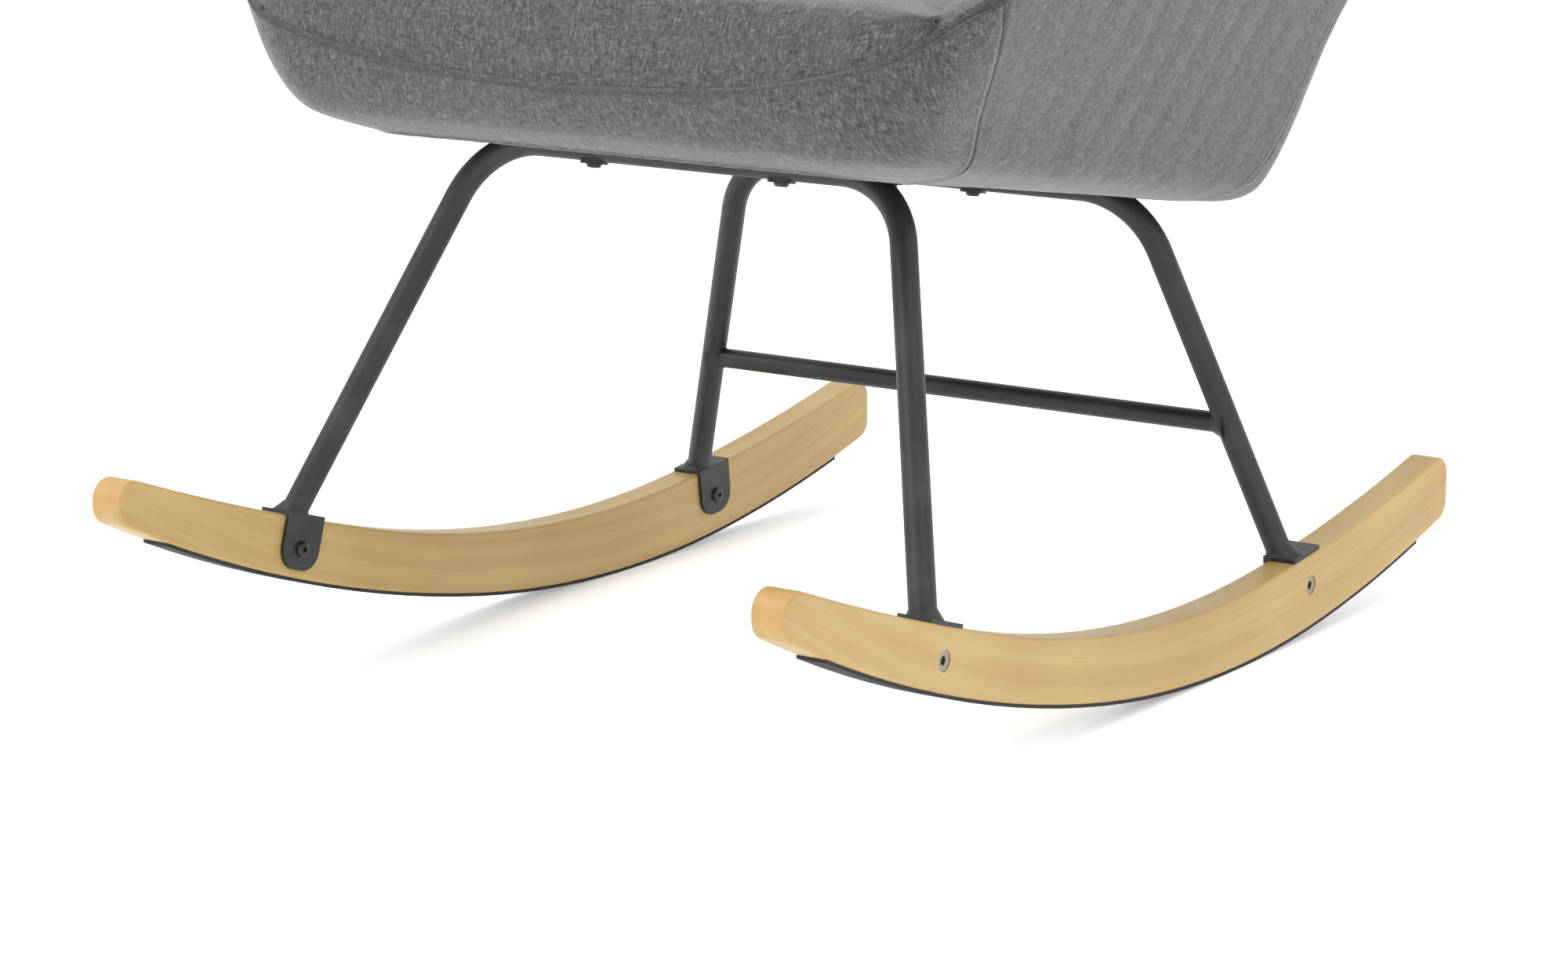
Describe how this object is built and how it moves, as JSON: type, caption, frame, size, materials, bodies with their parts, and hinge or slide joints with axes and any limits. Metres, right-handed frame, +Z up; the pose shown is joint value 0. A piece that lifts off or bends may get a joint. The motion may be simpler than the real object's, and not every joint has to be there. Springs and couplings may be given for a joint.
{
  "type": "rocking chair",
  "caption": "Upholstered rocking chair: padded tub shell with low arms on two bent-tube leg frames and curved wooden rockers.",
  "frame": {"origin": "middle of the chair's overall box, on the floor plane", "axes": "+Z up, the chair faces -Y, +X is the chair's right-hand side seen from the front"},
  "size_m": [0.6942, 0.9781, 0.9914],
  "materials": {
    "beech": "bent beech, clear matt lacquer",
    "floor_pad": "matt strip",
    "powder_coat": "black satin powder coat",
    "screw_steel": "zinc plated",
    "black_steel": "black oxide",
    "plywood": "raw birch plywood",
    "softwood": "raw planed softwood",
    "webbing": "woven elastic strap",
    "spring_wire": "drawn spring wire",
    "lining": "black non-woven lining",
    "cover_cloth": "grey flecked plain weave",
    "foam": "cut seating foam",
    "wadding": "polyester fibre wadding"
  },
  "bodies": {
    "root": {"left_rocker": "beech", "right_rocker": "beech", "left_rocker_pad": "floor_pad", "right_rocker_pad": "floor_pad", "front_leg_frame": "powder_coat", "rear_leg_frame": "powder_coat", "leg_stretcher": "powder_coat", "front_left_bracket": "powder_coat", "front_right_bracket": "powder_coat", "rear_left_bracket": "powder_coat", "rear_right_bracket": "powder_coat", "bracket_screws": "screw_steel", "sleeve_nuts": "screw_steel", "seat_tee_nuts": "screw_steel", "seat_bolts": "black_steel", "saddle_washers": "black_steel", "seat_board": "plywood", "left_arm_panel": "plywood", "right_arm_panel": "plywood", "front_rail": "softwood", "rear_rail": "softwood", "left_side_rail": "softwood", "right_side_rail": "softwood", "left_back_post": "softwood", "right_back_post": "softwood", "lumbar_rail": "softwood", "top_rail": "softwood", "lower_back_rail": "softwood", "back_webbing": "webbing", "seat_springs": "spring_wire", "dust_cover": "lining", "front_band_cover": "cover_cloth", "outside_back_cover": "cover_cloth", "left_side_cover": "cover_cloth", "right_side_cover": "cover_cloth", "inside_back_cover": "cover_cloth", "left_inside_arm_cover": "cover_cloth", "right_inside_arm_cover": "cover_cloth", "seat_cover": "cover_cloth", "edge_piping": "cover_cloth", "rim_padding": "foam", "left_arm_foam": "foam", "right_arm_foam": "foam", "back_foam": "foam", "seat_foam": "foam", "back_wadding": "wadding"}
  },
  "joints": []
}
